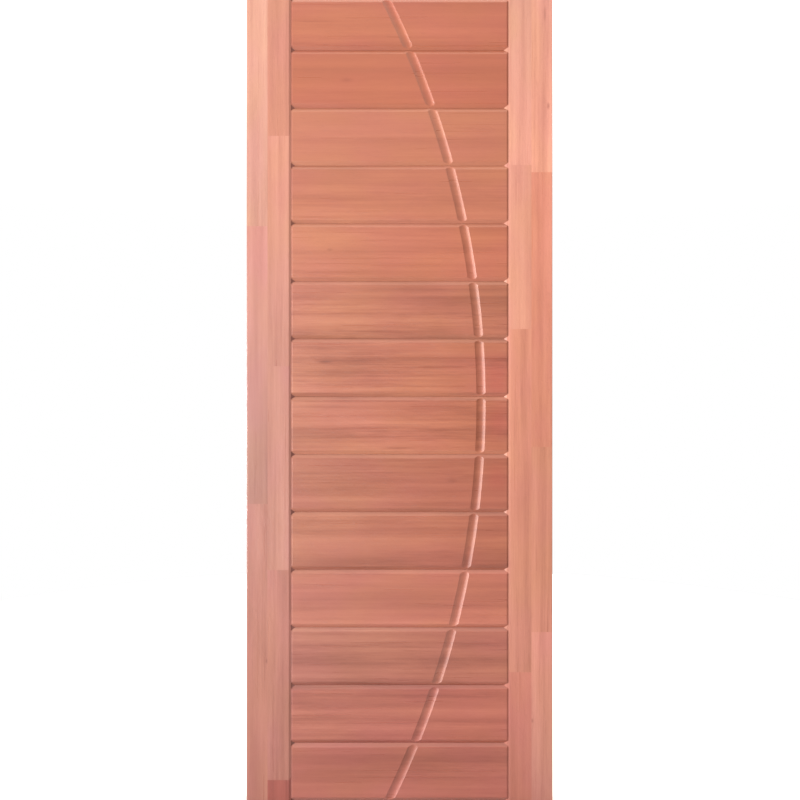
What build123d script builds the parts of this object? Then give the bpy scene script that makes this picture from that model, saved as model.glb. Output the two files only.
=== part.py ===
"""Solid-wood door leaf, 800 x 2100 mm, with horizontal boards and a routed arc.

Tongue-and-groove boards lie between two stiles. Each stile is glued up from two staves of
finger-jointed blocks. The boards' chamfered edges leave a V groove at every joint. Their ends are
coped over a chamfer along the stiles, which shows as a narrow strip beside them and closes each V.
A round-nosed cutter has run one arc of constant radius across the boards, on both faces.

X runs from the hinge edge to the lock edge. Y runs from the front face to the back face and is
zero at mid-thickness. Z runs up from the bottom edge. Sizes are in millimetres.
"""

import os
from math import ceil

from build123d import *

# Leaf
LEAF_WIDTH = 800.0
LEAF_HEIGHT = 2100.0
LEAF_THICKNESS = 35.0
ARRIS_RADIUS = 2.0  # rounding along the leaf's long outer corners

# Stiles, each of an outer and an inner stave
STILE_FACE_WIDTH = 110.5  # from the outer edge to the start of the chamfer
STILE_CHAMFER = 16.0  # width of the chamfer that the boards are coped over
CHAMFER_REVEAL = 5.0  # strip of that chamfer that shows beside the boards
OUTER_STAVE_WIDTH = 55.0

# Boards
BOARD_COVER = 151.2  # height that one whole board covers
NARROWEST_TOP_BOARD = 60.0  # the top board is trimmed to the leaf, and never below this
BOARD_CHAMFER = 10.0  # width of the chamfer along a board's long edges, seen from the front
END_CHAMFER = 4.3  # width of the chamfer along a board's ends
V_DEPTH = 6.0  # depth of the V that two boards make, and of the stiles' chamfer

# Tongues, on the boards' top edges and ends, and the grooves that take them
TONGUE_THICKNESS = 10.0
TONGUE_LENGTH = 8.0
TIP_CLEARANCE = 1.0  # room for glue and swelling beyond a tongue's tip

# Finger joints between the blocks of a stave
FINGER_LENGTH = 10.0
FINGER_PITCH = 5.0
FINGER_TIP = 0.8

# Heights of the joint lines that show on the staves' faces
LEFT_OUTER_JOINTS = (778.0, 1504.0)
LEFT_INNER_JOINTS = (56.0, 605.0, 1138.0, 1740.0)
RIGHT_INNER_JOINTS = (338.0, 1235.0, 1664.0)
RIGHT_OUTER_JOINTS = (443.0, 927.0, 1645.0)

# Routed arc
ARC_RADIUS = 2361.0
ARC_APEX_HEIGHT = 1042.0
ARC_APEX_TO_JOINT = 71.5  # from the arc's apex to the boards' ends at the lock stile
COVE_WIDTH = 24.0
COVE_DEPTH = 3.5

# Values that follow from those above
FACE = LEAF_THICKNESS / 2  # from mid-thickness to a face
V_ROOT = FACE - V_DEPTH  # from mid-thickness to the bottom of a V
TONGUE_CHEEK = TONGUE_THICKNESS / 2
SOCKET_DEPTH = TONGUE_LENGTH + TIP_CLEARANCE
STILE_WIDTH = STILE_FACE_WIDTH + STILE_CHAMFER
REVEAL_DEPTH = V_DEPTH * CHAMFER_REVEAL / STILE_CHAMFER
SHOULDER_LEFT = STILE_WIDTH  # where the boards' full thickness starts
SHOULDER_RIGHT = LEAF_WIDTH - STILE_WIDTH
LIP_LEFT = STILE_FACE_WIDTH + CHAMFER_REVEAL  # where the lip over the stile's chamfer starts
LIP_RIGHT = LEAF_WIDTH - LIP_LEFT
COVE_RADIUS = (COVE_WIDTH**2 / 4 + COVE_DEPTH**2) / (2 * COVE_DEPTH)
ARC_CENTRE = LIP_RIGHT - ARC_APEX_TO_JOINT - ARC_RADIUS


def both_halves(half_outline, mirror_plane):
    """Face from the outline of one half, which starts and ends on the line of symmetry."""
    half = make_face(Polyline(*half_outline, close=True))
    return half + mirror(half, about=mirror_plane)


def board_section(low, high, has_tongue, has_groove):
    """Cross-section of a board between two joint lines, across the thickness and up."""
    top_edge = [(0, high)]
    if has_tongue:
        tip = high + TONGUE_LENGTH
        top_edge = [(0, tip), (TONGUE_CHEEK, tip), (TONGUE_CHEEK, high)]
    bottom_edge = [(0, low)]
    if has_groove:
        floor = low + SOCKET_DEPTH
        bottom_edge = [(TONGUE_CHEEK, low), (TONGUE_CHEEK, floor), (0, floor)]
    side = [
        (V_ROOT, high),
        (FACE, high - BOARD_CHAMFER),
        (FACE, low + BOARD_CHAMFER),
        (V_ROOT, low),
    ]
    return Plane.YZ * both_halves(top_edge + side + bottom_edge, Plane.YZ)


def board_plan():
    """Outline of every board seen from above, with a tongue and two coped lips on each end."""
    half = [
        (SHOULDER_LEFT - TONGUE_LENGTH, 0),
        (SHOULDER_LEFT - TONGUE_LENGTH, TONGUE_CHEEK),
        (SHOULDER_LEFT, TONGUE_CHEEK),
        (SHOULDER_LEFT, V_ROOT),
        (LIP_LEFT, FACE - REVEAL_DEPTH),
        (LIP_LEFT + END_CHAMFER, FACE),
        (LIP_RIGHT - END_CHAMFER, FACE),
        (LIP_RIGHT, FACE - REVEAL_DEPTH),
        (SHOULDER_RIGHT, V_ROOT),
        (SHOULDER_RIGHT, TONGUE_CHEEK),
        (SHOULDER_RIGHT + TONGUE_LENGTH, TONGUE_CHEEK),
        (SHOULDER_RIGHT + TONGUE_LENGTH, 0),
    ]
    return both_halves(half, Plane.XZ)


def arc_cutter(side):
    """Ring that a round-nosed cutter sweeps along the arc; side is -1 for the front, 1 for the back."""
    middle = side * (FACE + COVE_RADIUS - COVE_DEPTH)
    ring = Rot(90, 0, 0) * Rot(0, 0, 180) * Torus(ARC_RADIUS, COVE_RADIUS)
    return Pos(ARC_CENTRE, middle, ARC_APEX_HEIGHT) * ring


def make_boards():
    """Every board from the bottom up, by name."""
    count = ceil((LEAF_HEIGHT - NARROWEST_TOP_BOARD) / BOARD_COVER)
    ends = extrude(board_plan(), LEAF_HEIGHT, both=True)
    cutters = [arc_cutter(-1), arc_cutter(1)]
    boards = {}
    for number in range(1, count + 1):
        low = (number - 1) * BOARD_COVER
        high = LEAF_HEIGHT if number == count else low + BOARD_COVER
        section = board_section(low, high, has_tongue=number < count, has_groove=number > 1)
        board = extrude(section, LEAF_WIDTH, dir=(1, 0, 0)) & ends
        boards[f"board_{number:02d}"] = board - cutters
    return boards


def outer_stave_plan():
    """Outline of the left outer stave from above, with its two outer corners rounded."""
    outline = Pos(OUTER_STAVE_WIDTH / 2, 0) * Rectangle(OUTER_STAVE_WIDTH, LEAF_THICKNESS)
    return fillet(outline.vertices().group_by(Axis.X)[0], ARRIS_RADIUS)


def inner_stave_plan():
    """Outline of the left inner stave from above, with its chamfers and the groove for the boards."""
    half = [
        (OUTER_STAVE_WIDTH, 0),
        (OUTER_STAVE_WIDTH, FACE),
        (STILE_FACE_WIDTH, FACE),
        (STILE_WIDTH, V_ROOT),
        (STILE_WIDTH, TONGUE_CHEEK),
        (STILE_WIDTH - SOCKET_DEPTH, TONGUE_CHEEK),
        (STILE_WIDTH - SOCKET_DEPTH, 0),
    ]
    return both_halves(half, Plane.XZ)


def finger_line(height):
    """Points of a finger joint from front to back, with the fingers' roots at a height."""
    count = max(1, round(LEAF_THICKNESS / FINGER_PITCH))
    pitch = LEAF_THICKNESS / count
    tip = height + FINGER_LENGTH
    points = [(-LEAF_THICKNESS, height)]
    for number in range(count):
        root = -FACE + number * pitch
        points.append((root + FINGER_TIP / 2, height))
        points.append((root + (pitch - FINGER_TIP) / 2, tip))
        points.append((root + (pitch + FINGER_TIP) / 2, tip))
        points.append((root + pitch - FINGER_TIP / 2, height))
    points.append((LEAF_THICKNESS, height))
    return points


def square_line(height):
    """Points of a square cut through the leaf, from front to back."""
    return [(-LEAF_THICKNESS, height), (LEAF_THICKNESS, height)]


def make_stave(name, plan, joint_heights, on_right):
    """Blocks of one stave from the bottom up, by name."""
    stave = extrude(plan, LEAF_HEIGHT)
    joints = [height for height in joint_heights if height + FINGER_LENGTH < LEAF_HEIGHT]
    cuts = [square_line(0), *map(finger_line, joints), square_line(LEAF_HEIGHT)]
    blocks = {}
    for number, (lower, upper) in enumerate(zip(cuts, cuts[1:]), start=1):
        span = Plane.YZ * make_face(Polyline(*lower, *reversed(upper), close=True))
        block = stave & extrude(span, LEAF_WIDTH, dir=(1, 0, 0))
        if on_right:
            block = mirror(block, about=Plane.YZ.offset(LEAF_WIDTH / 2))
        blocks[f"{name}_block_{number}"] = block
    return blocks


def make_stiles():
    """Blocks of the four staves, by name."""
    outer, inner = outer_stave_plan(), inner_stave_plan()
    return {
        **make_stave("left_stile_outer", outer, LEFT_OUTER_JOINTS, on_right=False),
        **make_stave("left_stile_inner", inner, LEFT_INNER_JOINTS, on_right=False),
        **make_stave("right_stile_inner", inner, RIGHT_INNER_JOINTS, on_right=True),
        **make_stave("right_stile_outer", outer, RIGHT_OUTER_JOINTS, on_right=True),
    }


os.makedirs("parts", exist_ok=True)
for node, shape in {**make_boards(), **make_stiles()}.items():
    export_step(shape, f"parts/{node}.step")
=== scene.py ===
"""Looks of the solid-wood door leaf: modelled boards and stile blocks, their wood, and the studio.

Everything is in metres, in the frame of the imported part: X from the hinge edge to the lock edge,
Y from the front face to the back face, Z up from the bottom edge.
"""

import math

import bmesh
import bpy
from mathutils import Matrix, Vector


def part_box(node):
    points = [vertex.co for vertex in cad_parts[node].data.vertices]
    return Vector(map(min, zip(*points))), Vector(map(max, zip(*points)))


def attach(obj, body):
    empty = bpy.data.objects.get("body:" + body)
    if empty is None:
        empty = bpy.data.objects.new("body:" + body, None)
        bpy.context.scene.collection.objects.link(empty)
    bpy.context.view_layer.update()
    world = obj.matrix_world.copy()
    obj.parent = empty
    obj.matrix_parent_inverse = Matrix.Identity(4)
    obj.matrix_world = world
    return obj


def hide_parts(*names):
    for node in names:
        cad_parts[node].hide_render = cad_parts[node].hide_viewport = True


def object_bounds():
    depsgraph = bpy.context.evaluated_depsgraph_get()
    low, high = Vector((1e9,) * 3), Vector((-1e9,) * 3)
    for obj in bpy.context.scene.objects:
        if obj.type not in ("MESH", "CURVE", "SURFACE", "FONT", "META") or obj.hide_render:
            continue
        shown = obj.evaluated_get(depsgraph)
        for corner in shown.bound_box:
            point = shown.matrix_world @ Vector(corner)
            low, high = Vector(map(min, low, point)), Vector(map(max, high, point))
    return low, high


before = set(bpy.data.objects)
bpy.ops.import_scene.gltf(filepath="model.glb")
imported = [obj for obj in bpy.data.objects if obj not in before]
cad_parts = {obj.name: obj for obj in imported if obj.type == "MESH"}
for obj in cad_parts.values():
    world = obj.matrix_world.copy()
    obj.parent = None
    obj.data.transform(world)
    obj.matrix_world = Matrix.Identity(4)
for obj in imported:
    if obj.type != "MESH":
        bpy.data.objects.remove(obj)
cad_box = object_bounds()

# Leaf
LEAF_LOW, LEAF_HIGH = cad_box
FACE = LEAF_HIGH.y
LEAF_MIDDLE = (LEAF_LOW.x + LEAF_HIGH.x) / 2
ARRIS_RADIUS = 0.002
JOINT_GAP = 0.0001  # half of the hairline that shows between two pieces

# Stile blocks and their finger joints
BLOCK_NAMES = sorted(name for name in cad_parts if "_block_" in name)
STILE_FACE_WIDTH = 0.1105
STILE_CHAMFER = 0.016
CHAMFER_REVEAL = 0.005
STILE_EASING = 0.0006
FINGER_LENGTH = 0.010
FINGER_COUNT = 7
FINGER_TIP = 0.0008

# Boards, with the V grooves between them and the lips on their ends
BOARD_NAMES = sorted(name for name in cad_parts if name.startswith("board_"))
V_DEPTH = 0.006
V_ROOT = FACE - V_DEPTH
BOARD_CHAMFER = 0.010
END_CHAMFER = 0.0043
BOARD_EASING = 0.002  # from a long edge to where its rounding meets the face
EASING_STEPS = 5
TONGUE_CHEEK = 0.005
TONGUE_LENGTH = 0.008
SOCKET_DEPTH = 0.009
REVEAL_DEPTH = V_DEPTH * CHAMFER_REVEAL / STILE_CHAMFER
STILE_WIDTH = STILE_FACE_WIDTH + STILE_CHAMFER
CHAMFER_ANGLE = math.atan2(V_DEPTH, BOARD_CHAMFER)
EASING_RADIUS = BOARD_EASING / math.tan(CHAMFER_ANGLE / 2)
EASING_DEPTH = BOARD_EASING * math.sin(CHAMFER_ANGLE)
SHOULDER_WIDTH = LEAF_HIGH.x - LEAF_LOW.x - 2 * (STILE_WIDTH + JOINT_GAP)
LIP_WIDTH = LEAF_HIGH.x - LEAF_LOW.x - 2 * (STILE_FACE_WIDTH + CHAMFER_REVEAL + JOINT_GAP)
STILE_EDGE = LEAF_HIGH.x - STILE_FACE_WIDTH - LEAF_MIDDLE  # from mid-width to the stiles' chamfers

# Routed arc
ARC_RADIUS = 2.361
ARC_APEX = Vector((0.613, 0.0, 1.042))
COVE_WIDTH = 0.024
COVE_DEPTH = 0.0035
COVE_RADIUS = (COVE_WIDTH**2 / 4 + COVE_DEPTH**2) / (2 * COVE_DEPTH)

# Camera: square on, where one side of the square picture spans this much of the front face
VIEW_SPAN = 2.0912
VIEW_CENTRE = Vector((0.4013, -FACE, 1.0495))
VIEW_DISTANCE = 2.2
SENSOR_WIDTH = 36.0


# Modelling helpers

def deselect():
    """Leaves nothing selected, because an operator acts on all that is."""
    for thing in bpy.context.selected_objects:
        thing.select_set(False)


def take(piece):
    """Makes one piece the selected and active object."""
    deselect()
    piece.select_set(True)
    bpy.context.view_layer.objects.active = piece


def add_block(name, low, high):
    """Plain block between two corners, to be shaped in edit mode."""
    deselect()
    bpy.ops.mesh.primitive_cube_add(size=1, location=(low + high) / 2, scale=high - low)
    bpy.ops.object.transform_apply(location=True, rotation=True, scale=True)
    block = bpy.context.object
    block.name = name
    block.data.name = name
    return block


def pick_faces(piece, wanted):
    """Selects the faces that pass a test, in edit mode."""
    bpy.ops.mesh.select_mode(type="FACE")
    bpy.ops.mesh.select_all(action="DESELECT")
    mesh = bmesh.from_edit_mesh(piece.data)
    for face in mesh.faces:
        face.select_set(wanted(face))
    bmesh.update_edit_mesh(piece.data)


def pick_edges(piece, wanted):
    """Selects the edges whose two ends pass a test together, in edit mode."""
    bpy.ops.mesh.select_mode(type="EDGE")
    bpy.ops.mesh.select_all(action="DESELECT")
    mesh = bmesh.from_edit_mesh(piece.data)
    for edge in mesh.edges:
        edge.select_set(wanted(edge.verts[0].co, edge.verts[1].co))
    bmesh.update_edit_mesh(piece.data)


def extrude(offset):
    """Extrudes the selected faces."""
    bpy.ops.mesh.extrude_region_move(TRANSFORM_OT_translate={"value": offset})


def slice_at(y):
    """Cuts the whole mesh along a plane parallel to the faces, and keeps both sides."""
    bpy.ops.mesh.select_all(action="SELECT")
    bpy.ops.mesh.bisect(plane_co=(0, y, 0), plane_no=(0, 1, 0))


def between_cheeks(face):
    """True for a face within the thickness of the tongues."""
    return abs(face.calc_center_median().y) < TONGUE_CHEEK


def cut(piece, cutter):
    """Cuts a closed shape out of a piece."""
    take(piece)
    modifier = piece.modifiers.new("cut", "BOOLEAN")
    modifier.operation = "DIFFERENCE"
    modifier.solver = "EXACT"
    modifier.object = cutter
    bpy.ops.object.modifier_apply(modifier=modifier.name)


def plough(piece, start, end):
    """Cuts a groove for tongues, in mid-thickness between two corners along X and Z."""
    low = Vector((start[0], -TONGUE_CHEEK, start[1]))
    high = Vector((end[0], TONGUE_CHEEK, end[1]))
    cutter = add_block("groove_cutter", low, high)
    cut(piece, cutter)
    bpy.data.objects.remove(cutter)


def finish_shading(piece):
    """Smooth over the rounded stretches and flat elsewhere."""
    take(piece)
    bpy.ops.object.shade_smooth_by_angle(angle=math.radians(18))
    modifier = piece.modifiers.new("even_normals", "WEIGHTED_NORMAL")
    modifier.keep_sharp = True
    bpy.ops.object.modifier_apply(modifier=modifier.name)


# Boards

def add_arc_cutter(side):
    """Bar that the round-nosed cutter sweeps along the arc; side is -1 for the front, 1 for the back."""
    off_face = side * (FACE + COVE_RADIUS - COVE_DEPTH)
    centre = Vector((ARC_APEX.x - ARC_RADIUS, off_face, ARC_APEX.z))
    above = math.asin((LEAF_HIGH.z + COVE_WIDTH - ARC_APEX.z) / ARC_RADIUS)
    below = math.asin((ARC_APEX.z - LEAF_LOW.z + COVE_WIDTH) / ARC_RADIUS)
    start = centre + ARC_RADIUS * Vector((math.cos(above), 0, math.sin(above)))
    deselect()
    bpy.ops.mesh.primitive_circle_add(
        vertices=64, radius=COVE_RADIUS, location=start, rotation=(0, -above, 0)
    )
    bpy.ops.object.transform_apply(location=True, rotation=True, scale=True)
    cutter = bpy.context.object
    cutter.name = f"arc_cutter_{side}"
    bpy.ops.object.mode_set(mode="EDIT")
    bpy.ops.mesh.select_all(action="SELECT")
    bpy.ops.mesh.spin(steps=97, angle=above + below, center=centre, axis=(0, -1, 0))
    bpy.ops.mesh.select_all(action="SELECT")
    bpy.ops.mesh.fill_holes(sides=0)
    bpy.ops.mesh.select_all(action="SELECT")
    bpy.ops.mesh.normals_make_consistent(inside=False)
    bpy.ops.object.mode_set(mode="OBJECT")
    return cutter


def width_at(depth):
    """Width of a board at a depth below its face: it widens to the lips, then narrows to the shoulders."""
    if depth < REVEAL_DEPTH:
        return LIP_WIDTH - 2 * END_CHAMFER * (1 - depth / REVEAL_DEPTH)
    return LIP_WIDTH - (LIP_WIDTH - SHOULDER_WIDTH) * (depth - REVEAL_DEPTH) / (V_DEPTH - REVEAL_DEPTH)


def inset_at(depth):
    """How far a long edge stands back at a depth below the face: a chamfer, rounded into the face."""
    if depth > EASING_DEPTH:
        return BOARD_CHAMFER * (1 - depth / V_DEPTH)
    rise = EASING_RADIUS - depth
    return BOARD_CHAMFER + BOARD_EASING - math.sqrt(EASING_RADIUS**2 - rise**2)


def raise_side(side, middle, height):
    """Builds up the picked face from the bottom of the V to the board's face, level by level."""
    easing_levels = [EASING_DEPTH * (step / EASING_STEPS) ** 2 for step in range(EASING_STEPS + 1)]
    levels = sorted([V_DEPTH, REVEAL_DEPTH, *easing_levels], reverse=True)
    for below, above in zip(levels, levels[1:]):
        extrude((0, side * (below - above), 0))
        width_ratio = width_at(above) / width_at(below)
        height_ratio = (height - 2 * inset_at(above)) / (height - 2 * inset_at(below))
        centre = middle + Vector((0, side * (FACE - above), 0))
        bpy.ops.transform.resize(value=(width_ratio, 1, height_ratio), center_override=centre)


def model_board(node, cutters):
    """Board with chamfers all round, lips and tongues on its ends, a tongue above and a groove below."""
    is_lowest, is_highest = node == BOARD_NAMES[0], node == BOARD_NAMES[-1]
    low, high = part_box(node)
    bottom = low.z if is_lowest else low.z + JOINT_GAP
    top = high.z if is_highest else high.z - TONGUE_LENGTH - JOINT_GAP
    middle = Vector((LEAF_MIDDLE, 0, (bottom + top) / 2))
    corner = Vector((SHOULDER_WIDTH / 2, V_ROOT, (top - bottom) / 2))
    board = add_block(f"{node}_wood", middle - corner, middle + corner)
    bpy.ops.object.mode_set(mode="EDIT")
    for side in (-1, 1):
        pick_faces(board, lambda face: face.normal.y * side > 0.99)
        raise_side(side, middle, top - bottom)
    slice_at(-TONGUE_CHEEK)
    slice_at(TONGUE_CHEEK)
    for side in (-1, 1):
        pick_faces(board, lambda face: face.normal.x * side > 0.9 and between_cheeks(face))
        extrude((side * (TONGUE_LENGTH + JOINT_GAP), 0, 0))
    if not is_highest:
        pick_faces(board, lambda face: face.normal.z > 0.9 and between_cheeks(face))
        extrude((0, 0, TONGUE_LENGTH + JOINT_GAP))
    bpy.ops.object.mode_set(mode="OBJECT")
    for cutter in cutters:
        cut(board, cutter)
    if not is_lowest:
        plough(board, (LEAF_LOW.x, bottom - SOCKET_DEPTH), (LEAF_HIGH.x, bottom + SOCKET_DEPTH))
    finish_shading(board)
    return board


# Stile blocks

def finger_height(y):
    """Height of the finger joint's zigzag above its roots, at a depth in the leaf."""
    pitch = 2 * FACE / FINGER_COUNT
    from_root = (y + FACE) % pitch
    to_slope = min(from_root, pitch - from_root) - FINGER_TIP / 2
    slope_width = pitch / 2 - FINGER_TIP
    return FINGER_LENGTH * min(max(to_slope / slope_width, 0), 1)


def cut_fingers(block, ends):
    """Turns the square ends at the given heights into finger joints."""
    pitch = 2 * FACE / FINGER_COUNT
    for number in range(FINGER_COUNT):
        root = -FACE + number * pitch
        tip = root + pitch / 2
        for line in (
            root + FINGER_TIP / 2,
            tip - FINGER_TIP / 2,
            tip + FINGER_TIP / 2,
            root + pitch - FINGER_TIP / 2,
        ):
            slice_at(line)
    mesh = bmesh.from_edit_mesh(block.data)
    for vertex in mesh.verts:
        if any(abs(vertex.co.z - end) < 1e-5 for end in ends):
            vertex.co.z += finger_height(vertex.co.y)
    bmesh.update_edit_mesh(block.data)


def chamfer_stile(block, inner_x, inward):
    """Cuts the chamfers that the boards' lips lie on, and eases their upper edges."""
    edge_x = inner_x - inward * STILE_CHAMFER
    for side in (-1, 1):
        bpy.ops.mesh.select_all(action="SELECT")
        bpy.ops.mesh.bisect(
            plane_co=(edge_x, side * FACE, 0),
            plane_no=Vector((inward * V_DEPTH, side * STILE_CHAMFER, 0)).normalized(),
            use_fill=True,
            clear_outer=True,
        )

    def on_edge(start, end):
        return all(abs(point.x - edge_x) < 1e-5 and abs(point.y) > FACE - 1e-5 for point in (start, end))

    pick_edges(block, on_edge)
    bpy.ops.mesh.bevel(offset=STILE_EASING, segments=2, affect="EDGES")


def model_block(node):
    """Stile block: outer ones with rounded arrises, inner ones with chamfers and a groove."""
    low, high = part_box(node)
    joint_above = high.z < LEAF_HIGH.z - 1e-4
    joint_below = low.z > LEAF_LOW.z + 1e-4
    if joint_above:
        high.z -= FINGER_LENGTH
    block = add_block(f"{node}_wood", low, high)
    on_left = node.startswith("left")
    outer_x, inner_x = (low.x, high.x) if on_left else (high.x, low.x)
    inward = 1 if on_left else -1
    bpy.ops.object.mode_set(mode="EDIT")
    if "_outer_" in node:
        pick_edges(block, lambda start, end: abs(start.x - outer_x) + abs(end.x - outer_x) < 1e-5
                   and abs(start.z - end.z) > FINGER_LENGTH)
        bpy.ops.mesh.bevel(offset=ARRIS_RADIUS, segments=4, affect="EDGES")
    else:
        chamfer_stile(block, inner_x, inward)
    ends = [height for height, joint in ((low.z, joint_below), (high.z, joint_above)) if joint]
    cut_fingers(block, ends)
    bpy.ops.object.mode_set(mode="OBJECT")
    if "_inner_" in node:
        below, above = low.z - SOCKET_DEPTH, high.z + FINGER_LENGTH + SOCKET_DEPTH
        plough(block, (inner_x - SOCKET_DEPTH, below), (inner_x + SOCKET_DEPTH, above))
    finish_shading(block)
    return block


# Materials

def put(tree, socket, value):
    """Sets a socket to a number or colour, or links another node's output to it."""
    if isinstance(value, bpy.types.NodeSocket):
        tree.links.new(value, socket)
    else:
        socket.default_value = value


def maths(tree, operation, *values):
    """Output of a Math node."""
    node = tree.nodes.new("ShaderNodeMath")
    node.operation = operation
    for socket, value in zip(node.inputs, values):
        put(tree, socket, value)
    return node.outputs[0]


def blended(tree, factor, colour, other, blend_type="MIX"):
    """Output of a colour Mix node."""
    node = tree.nodes.new("ShaderNodeMix")
    node.data_type = "RGBA"
    node.blend_type = blend_type
    for index, value in ((0, factor), (6, colour), (7, other)):
        put(tree, node.inputs[index], value)
    return node.outputs[2]


def faded(tree, value, start, end):
    """Zero at the start value, one at the end value, and smooth between them."""
    node = tree.nodes.new("ShaderNodeMapRange")
    node.interpolation_type = "SMOOTHSTEP"
    put(tree, node.inputs["Value"], value)
    put(tree, node.inputs["From Min"], start)
    put(tree, node.inputs["From Max"], end)
    return node.outputs["Result"]


def grain_noise(tree, coords, grain, along, across, detail, seed):
    """Noise from -0.5 to 0.5, drawn out along the grain; along and across are features to the metre."""
    mapping = tree.nodes.new("ShaderNodeMapping")
    put(tree, mapping.inputs["Vector"], coords)
    put(tree, mapping.inputs["Location"], (seed, 1.7 * seed, 0.6 * seed))
    put(tree, mapping.inputs["Scale"], [along if axis == grain else across for axis in "XYZ"])
    noise = tree.nodes.new("ShaderNodeTexNoise")
    put(tree, noise.inputs["Vector"], mapping.outputs["Vector"])
    put(tree, noise.inputs["Scale"], 1)
    put(tree, noise.inputs["Detail"], detail)
    return maths(tree, "SUBTRACT", noise.outputs["Fac"], 0.5)


def growth_rings(tree, coords, grain, pith, lean, wander, density, seed):
    """Rings from -0.5 to 0.5 round a pith that passes through a point and leans from the grain's axis."""
    mapping = tree.nodes.new("ShaderNodeMapping")
    mapping.vector_type = "TEXTURE"
    put(tree, mapping.inputs["Vector"], coords)
    put(tree, mapping.inputs["Location"], pith)
    put(tree, mapping.inputs["Rotation"], lean)
    flatten = tree.nodes.new("ShaderNodeVectorMath")
    flatten.operation = "MULTIPLY"
    put(tree, flatten.inputs[0], mapping.outputs["Vector"])
    put(tree, flatten.inputs[1], [0 if axis == grain else 1 for axis in "XYZ"])
    length = tree.nodes.new("ShaderNodeVectorMath")
    length.operation = "LENGTH"
    put(tree, length.inputs[0], flatten.outputs["Vector"])
    distance = maths(tree, "ADD", length.outputs["Value"], wander)
    noise = tree.nodes.new("ShaderNodeTexNoise")
    noise.noise_dimensions = "1D"
    put(tree, noise.inputs["W"], maths(tree, "ADD", distance, seed))
    put(tree, noise.inputs["Scale"], density)
    put(tree, noise.inputs["Detail"], 3)
    put(tree, noise.inputs["Roughness"], 0.65)
    return maths(tree, "SUBTRACT", noise.outputs["Fac"], 0.5)


def spot(tree, coords, place, reach):
    """One at a place on the front face, falling to zero at a reach along X and Z."""
    mapping = tree.nodes.new("ShaderNodeMapping")
    mapping.vector_type = "TEXTURE"
    put(tree, mapping.inputs["Vector"], coords)
    put(tree, mapping.inputs["Location"], (place[0], -FACE, place[1]))
    put(tree, mapping.inputs["Scale"], (reach[0], 0.02, reach[1]))
    length = tree.nodes.new("ShaderNodeVectorMath")
    length.operation = "LENGTH"
    put(tree, length.inputs[0], mapping.outputs["Vector"])
    return faded(tree, length.outputs["Value"], 1.0, 0.0)


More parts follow.
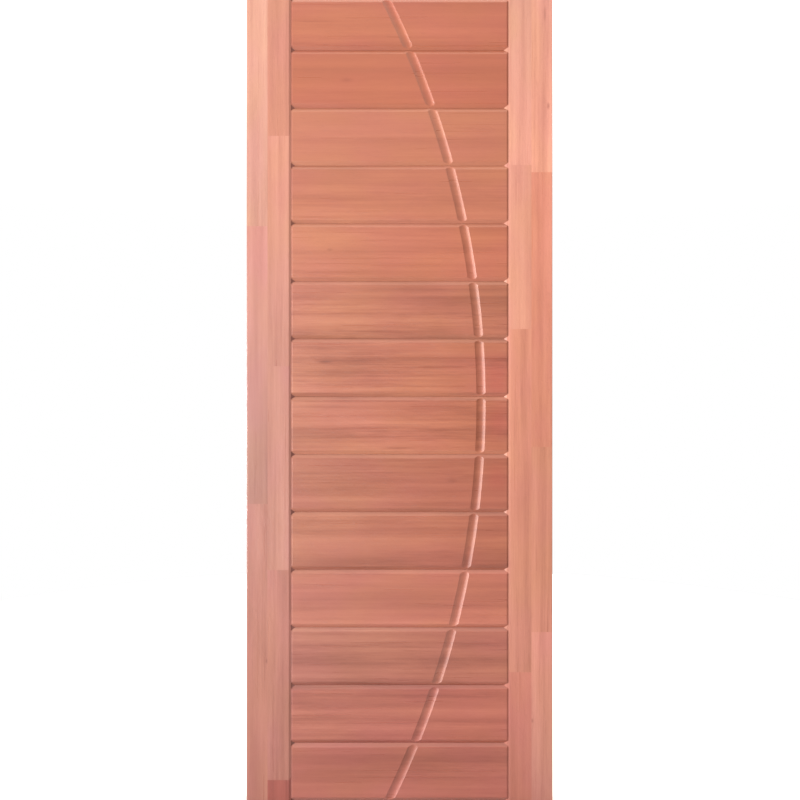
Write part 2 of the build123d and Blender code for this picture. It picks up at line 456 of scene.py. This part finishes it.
def wood(node, grain, tone, drift, index, liveliness):
    """Planed wood with its grain along one axis; tone is its middle colour, which drifts from end to end."""
    material = bpy.data.materials.new(f"{node}_grain")
    material.use_nodes = True
    tree = material.node_tree
    shader = tree.nodes["Principled BSDF"]
    coords = tree.nodes.new("ShaderNodeTexCoord").outputs["Object"]
    seed = 3.7 * index

    low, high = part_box(node)
    middle = (low + high) / 2
    turn = 2.4 * index
    out, up = 0.07 * math.cos(turn), 0.16 * math.sin(turn)
    pith = middle + Vector((0, out, up) if grain == "X" else (up, out, 0))
    lean = Vector((0, 0.014 * math.sin(3 * turn), 0.012 * math.cos(5 * turn)))
    if grain == "Z":
        lean = Vector((lean.y, lean.z, 0))

    wander = maths(tree, "MULTIPLY", grain_noise(tree, coords, grain, 3.0, 9, 2, seed), 0.014)
    for piece, centre, reach, darkness in KNOTS:
        if piece == node:
            bend = spot(tree, coords, centre, (3 * reach[0], 3 * reach[1]))
            wander = maths(tree, "MULTIPLY_ADD", bend, 0.010, wander)
    rings = growth_rings(tree, coords, grain, pith, lean, wander, 95, seed)
    streaks = grain_noise(tree, coords, grain, 3.2, 110, 2, seed + 11)
    threads = grain_noise(tree, coords, grain, 7.5, 230, 2, seed + 17)
    dashes = grain_noise(tree, coords, grain, 24, 270, 1, seed + 19)
    fibres = grain_noise(tree, coords, grain, 22, 700, 2, seed + 23)
    pores = grain_noise(tree, coords, grain, 55, 1900, 1, seed + 31)
    blotches = grain_noise(tree, coords, grain, 4.0, 12, 2, seed + 47)
    bands = grain_noise(tree, coords, grain, 0.7, 32, 2, seed + 83)
    hues = grain_noise(tree, coords, grain, 5.5, 12, 1, seed + 59)
    strength = faded(tree, grain_noise(tree, coords, grain, 2.0, 16, 1, seed + 71), -0.22, 0.22)

    lines = maths(tree, "MULTIPLY_ADD", rings, 0.7, maths(tree, "MULTIPLY", streaks, 0.75))
    lines = maths(tree, "MULTIPLY_ADD", threads, 0.6, lines)
    lines = maths(tree, "MULTIPLY_ADD", dashes, 0.4, lines)
    depth = maths(tree, "MULTIPLY", lines, maths(tree, "MULTIPLY_ADD", strength, 0.9, 0.35))
    depth = maths(tree, "MULTIPLY_ADD", blotches, 0.9, depth)
    depth = maths(tree, "MULTIPLY_ADD", bands, 2.2, depth)
    depth = maths(tree, "MULTIPLY_ADD", fibres, 0.35, depth)
    depth = maths(tree, "MULTIPLY_ADD", depth, liveliness, 0.5)

    ramp = tree.nodes.new("ShaderNodeValToRGB")
    stops = ramp.color_ramp.elements
    stops[0].position, stops[0].color = 0.0, [0.66 * tone[0], 0.56 * tone[1], 0.54 * tone[2], 1]
    stops[1].position, stops[1].color = 1.0, [1.26 * tone[0], 1.42 * tone[1], 1.44 * tone[2], 1]
    stops.new(0.5).color = [*tone, 1]
    put(tree, ramp.inputs["Fac"], depth)

    warm = blended(tree, 1.0, ramp.outputs["Color"], (1.00, 1.03, 0.94, 1), "MULTIPLY")
    rosy = blended(tree, 1.0, ramp.outputs["Color"], (1.00, 0.96, 1.03, 1), "MULTIPLY")
    colour = blended(tree, faded(tree, hues, -0.25, 0.25), rosy, warm)
    place = tree.nodes.new("ShaderNodeSeparateXYZ")
    put(tree, place.inputs[0], coords)
    first_end, second_end = (low.x, high.x) if grain == "X" else (low.z, high.z)
    drifting = blended(tree, faded(tree, place.outputs[grain], first_end, second_end), drift[0], drift[1])
    colour = blended(tree, 1.0, colour, drifting, "MULTIPLY")
    dark = (0.45, 0.30, 0.28, 1)
    pored = faded(tree, pores, 0.13, 0.26)
    colour = blended(tree, maths(tree, "MULTIPLY", pored, 0.25), colour, dark, "MULTIPLY")
    for piece, centre, reach, darkness in KNOTS:
        if piece == node:
            mark = maths(tree, "MULTIPLY", spot(tree, coords, centre, reach), darkness)
            colour = blended(tree, mark, colour, dark, "MULTIPLY")
    for piece, centre, reach in RED_PATCHES:
        if piece == node:
            colour = blended(tree, spot(tree, coords, centre, reach), colour, (1.0, 0.84, 0.92, 1), "MULTIPLY")

    # Painted shade: the chamfer strips where the boards' ends meet the stiles are darkened, most on the
    # boards' left ends, standing in for the shade that falls in the creases between the parts; the same strips
    # are also made rougher.
    off_middle = maths(tree, "ABSOLUTE", maths(tree, "SUBTRACT", place.outputs["X"], LEAF_MIDDLE))
    past_face = faded(tree, off_middle, LIP_WIDTH / 2 - END_CHAMFER, LIP_WIDTH / 2 - END_CHAMFER + 0.001)
    before_stile = faded(tree, off_middle, STILE_EDGE + 0.0005, STILE_EDGE - 0.0005)
    in_joint = maths(tree, "MULTIPLY", past_face, before_stile)
    on_right = faded(tree, place.outputs["X"], LEAF_MIDDLE - 0.01, LEAF_MIDDLE + 0.01)
    joint_shade_left, joint_shade_right = (0.6, 0.2) if grain == "X" else (0.2, 0.3)
    painted_joint_shade = maths(tree, "MULTIPLY_ADD", on_right, joint_shade_right - joint_shade_left, joint_shade_left)
    colour = blended(tree, maths(tree, "MULTIPLY", in_joint, painted_joint_shade), colour, dark, "MULTIPLY")
    # Painted shade: on the left stile, the chamfer strip under the boards' lips is darkened, which shows as
    # dark marks at the ends of the V grooves where shade falls; the right stile gets none.
    if grain == "Z":
        shaded_under_lip = faded(tree, off_middle, LIP_WIDTH / 2 + 0.0005, LIP_WIDTH / 2 - 0.0005)
        painted_lip_shade = maths(tree, "MULTIPLY_ADD", on_right, -0.9, 0.9)
        colour = blended(tree, maths(tree, "MULTIPLY", shaded_under_lip, painted_lip_shade), colour, dark, "MULTIPLY")

    normal = tree.nodes.new("ShaderNodeSeparateXYZ")
    put(tree, normal.inputs[0], tree.nodes.new("ShaderNodeNewGeometry").outputs["True Normal"])
    end_grain = faded(tree, maths(tree, "ABSOLUTE", normal.outputs[grain]), 0.8, 0.95)
    colour = blended(tree, maths(tree, "MULTIPLY", end_grain, 0.3), colour, dark, "MULTIPLY")
    put(tree, shader.inputs["Base Color"], colour)

    roughness = maths(tree, "MULTIPLY_ADD", streaks, 0.15, 0.30)
    put(tree, shader.inputs["Roughness"], maths(tree, "MULTIPLY_ADD", in_joint, 0.5, roughness))
    put(tree, shader.inputs["Specular IOR Level"], 0.45)
    bump = tree.nodes.new("ShaderNodeBump")
    put(tree, bump.inputs["Strength"], 0.3)
    put(tree, bump.inputs["Distance"], 0.0003)
    put(tree, bump.inputs["Height"], maths(tree, "SUBTRACT", fibres, pored))
    put(tree, shader.inputs["Normal"], bump.outputs["Normal"])
    return material


# Studio

def add_camera():
    """Camera square on to the front face."""
    data = bpy.data.cameras.new("camera")
    data.sensor_width = SENSOR_WIDTH
    data.lens = SENSOR_WIDTH * VIEW_DISTANCE / VIEW_SPAN
    data.clip_end = 100
    camera = bpy.data.objects.new("camera", data)
    camera.location = VIEW_CENTRE - Vector((0, VIEW_DISTANCE, 0))
    camera.rotation_euler = (math.pi / 2, 0, 0)
    bpy.context.scene.collection.objects.link(camera)
    bpy.context.scene.camera = camera


def add_softbox(name, place, target, size, power, colour):
    """Rectangular area light aimed at a point."""
    data = bpy.data.lights.new(name, "AREA")
    data.shape = "RECTANGLE"
    data.size, data.size_y = size
    data.energy = power
    data.color = colour
    light = bpy.data.objects.new(name, data)
    light.location = place
    light.rotation_euler = (Vector(target) - Vector(place)).to_track_quat("-Z", "Y").to_euler()
    light.visible_camera = False
    bpy.context.scene.collection.objects.link(light)


def add_studio():
    """White surroundings, a pale floor and three softboxes."""
    world = bpy.data.worlds.new("studio")
    world.use_nodes = True
    tree = world.node_tree
    direction = tree.nodes.new("ShaderNodeSeparateXYZ")
    put(tree, direction.inputs[0], tree.nodes.new("ShaderNodeTexCoord").outputs["Generated"])
    to_front = faded(tree, direction.outputs["Y"], 0.05, -0.25)
    to_right = faded(tree, direction.outputs["X"], 0.0, 0.7)
    dimming = maths(tree, "MULTIPLY", to_front, maths(tree, "MULTIPLY", to_right, -0.5))
    overhead = faded(tree, direction.outputs["Z"], 0.2, 0.9)
    strength = maths(tree, "MULTIPLY_ADD", overhead, 3.2, maths(tree, "ADD", dimming, 1.0))
    background = tree.nodes["Background"]
    put(tree, background.inputs["Color"], blended(tree, overhead, (1, 1, 1, 1), (1, 0.82, 0.69, 1)))
    put(tree, background.inputs["Strength"], strength)
    bpy.context.scene.world = world
    bpy.context.scene.view_settings.view_transform = "Standard"

    deselect()
    bpy.ops.mesh.primitive_circle_add(vertices=96, radius=3.0, fill_type="NGON", location=(LEAF_MIDDLE, 0, 0))
    floor = bpy.context.object
    floor.name = "floor"
    paint = bpy.data.materials.new("floor_paint")
    paint.use_nodes = True
    paint.node_tree.nodes["Principled BSDF"].inputs["Base Color"].default_value = (0.5, 0.5, 0.5, 1)
    paint.node_tree.nodes["Principled BSDF"].inputs["Roughness"].default_value = 0.9
    floor.data.materials.append(paint)

    add_softbox("left", (-6.0, -1.4, 0.6), (LEAF_MIDDLE, 0, 0.6), (1.7, 2.0), 900, (1, 0.98, 0.96))
    add_softbox("left_front", (-2.3, -2.7, 0.8), (LEAF_MIDDLE, 0, 0.9), (3.6, 2.6), 230, (1, 0.98, 0.96))
    add_softbox("back", (1.6, 3.0, 3.0), (LEAF_MIDDLE, 0, 1.0), (1.5, 1.5), 90, (1, 0.98, 0.96))


# Middle colours of the boards' wood
DEEP_ROSE = (0.166, 0.050, 0.037)
DUSKY_ROSE = (0.157, 0.052, 0.037)
BRICK = (0.169, 0.055, 0.034)
ROSE = (0.190, 0.063, 0.043)
TERRACOTTA = (0.194, 0.066, 0.040)
CORAL = (0.219, 0.074, 0.043)
RUSSET = (0.209, 0.059, 0.032)

# Middle colours of the stiles' wood
CLARET = (0.145, 0.038, 0.030)
CLAY = (0.182, 0.073, 0.057)
BLUSH = (0.202, 0.067, 0.052)
MAUVE = (0.196, 0.082, 0.065)
TAWNY = (0.226, 0.090, 0.070)
APRICOT = (0.240, 0.096, 0.065)
SANDY = (0.260, 0.106, 0.074)
AMBER = (0.271, 0.102, 0.067)
SALMON = (0.232, 0.099, 0.071)
SHELL = (0.275, 0.133, 0.100)
PEACH = (0.344, 0.150, 0.107)
MELON = (0.288, 0.122, 0.088)
PALE_PEACH = (0.313, 0.143, 0.100)

# Tone of each board from the bottom up. The tones grow lighter towards the top: partly the wood's own tone and
# partly painted light, standing in for light that falls off down the door.
BOARD_TONES = (
    DEEP_ROSE,
    DEEP_ROSE,
    DUSKY_ROSE,
    ROSE,
    BRICK,
    BRICK,
    TERRACOTTA,
    TERRACOTTA,
    TERRACOTTA,
    CORAL,
    CORAL,
    CORAL,
    RUSSET,
    RUSSET,
)

# Tone of the blocks of each stave from the bottom up. The tones grow lighter towards the top: partly the
# wood's own tone and partly painted light, standing in for light that falls off down the door.
STAVE_TONES = {
    "left_stile_outer": (CLAY, MAUVE, SHELL),
    "left_stile_inner": (CLARET, CLAY, MAUVE, SALMON, SANDY),
    "right_stile_inner": (BLUSH, APRICOT, MELON, PALE_PEACH),
    "right_stile_outer": (TAWNY, APRICOT, AMBER, PEACH),
}

# How strongly each board's grain shows, from the bottom up
BOARD_LIVELINESS = (0.50, 0.65, 0.75, 0.45, 0.65, 0.60, 0.75, 0.80, 0.75, 0.40, 0.42, 0.20, 0.25, 0.35)

# How far a board's tone drifts from its left end to its right end
REDDER = ((1.0, 1.04, 1.06, 1), (1.0, 0.90, 0.85, 1))
LITTLE_REDDER = ((1.0, 1.02, 1.03, 1), (1.0, 0.96, 0.93, 1))
BOARD_DRIFTS = (
    LITTLE_REDDER,
    *[REDDER] * 7,
    LITTLE_REDDER,
    REDDER,
    *[LITTLE_REDDER] * 4,
)

# How far the tone of a stave's blocks drifts from their lower end to their upper end
STAVE_DRIFTS = {
    "left_stile_outer": ((1.00, 1.00), (0.80, 1.20), (0.90, 1.08)),
    "left_stile_inner": ((1.00, 1.00), (0.93, 1.06), (0.95, 1.05), (0.86, 1.17), (1.00, 1.00)),
    "right_stile_inner": ((0.93, 1.04), (0.94, 1.16), (1.00, 1.00), (1.07, 0.94)),
    "right_stile_outer": ((0.87, 1.14), (1.00, 1.00), (0.91, 1.12), (1.04, 0.94)),
}

# Knots and dark streaks on the front: the piece, its place and reach along X and Z, and how dark it is
KNOTS = (
    ("board_08", (0.205, 1.149), (0.030, 0.006), 0.55),
    ("board_08", (0.290, 1.152), (0.200, 0.003), 0.30),
    ("board_10", (0.218, 1.442), (0.012, 0.006), 0.35),
    ("board_07", (0.510, 0.971), (0.110, 0.003), 0.40),
    ("board_07", (0.400, 0.924), (0.060, 0.004), 0.45),
    ("board_06", (0.537, 0.838), (0.020, 0.010), 0.25),
    ("board_13", (0.262, 1.886), (0.025, 0.008), 0.25),
    ("right_stile_outer_block_4", (0.780, 2.058), (0.005, 0.030), 0.35),
    ("right_stile_outer_block_4", (0.789, 1.818), (0.006, 0.014), 0.55),
    ("left_stile_outer_block_1", (0.0525, 0.367), (0.005, 0.010), 0.55),
    ("right_stile_outer_block_1", (0.7475, 0.211), (0.005, 0.010), 0.50),
)

# Redder patches of the boards near the right stile: the board, and the patch's place and reach along X and Z
RED_PATCHES = (
    ("board_06", (0.655, 0.850), (0.050, 0.060)),
    ("board_07", (0.655, 0.995), (0.055, 0.070)),
    ("board_08", (0.655, 1.105), (0.055, 0.080)),
)

# Assembly

front_cutter, back_cutter = add_arc_cutter(-1), add_arc_cutter(1)
for index, node in enumerate(BOARD_NAMES):
    board = model_board(node, [front_cutter, back_cutter])
    grain = wood(node, "X", BOARD_TONES[index], BOARD_DRIFTS[index], index, BOARD_LIVELINESS[index])
    board.data.materials.clear()
    board.data.materials.append(grain)
    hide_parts(node)
    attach(board, "root")
for cutter in (front_cutter, back_cutter):
    bpy.data.objects.remove(cutter)

for index, node in enumerate(BLOCK_NAMES):
    stave, number = node.split("_block_")
    tone = STAVE_TONES[stave][int(number) - 1]
    drift = [(shade, shade, shade, 1) for shade in STAVE_DRIFTS[stave][int(number) - 1]]
    block = model_block(node)
    block.data.materials.clear()
    block.data.materials.append(wood(node, "Z", tone, drift, index + 20, 0.45))
    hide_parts(node)
    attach(block, "root")

add_studio()
add_camera()
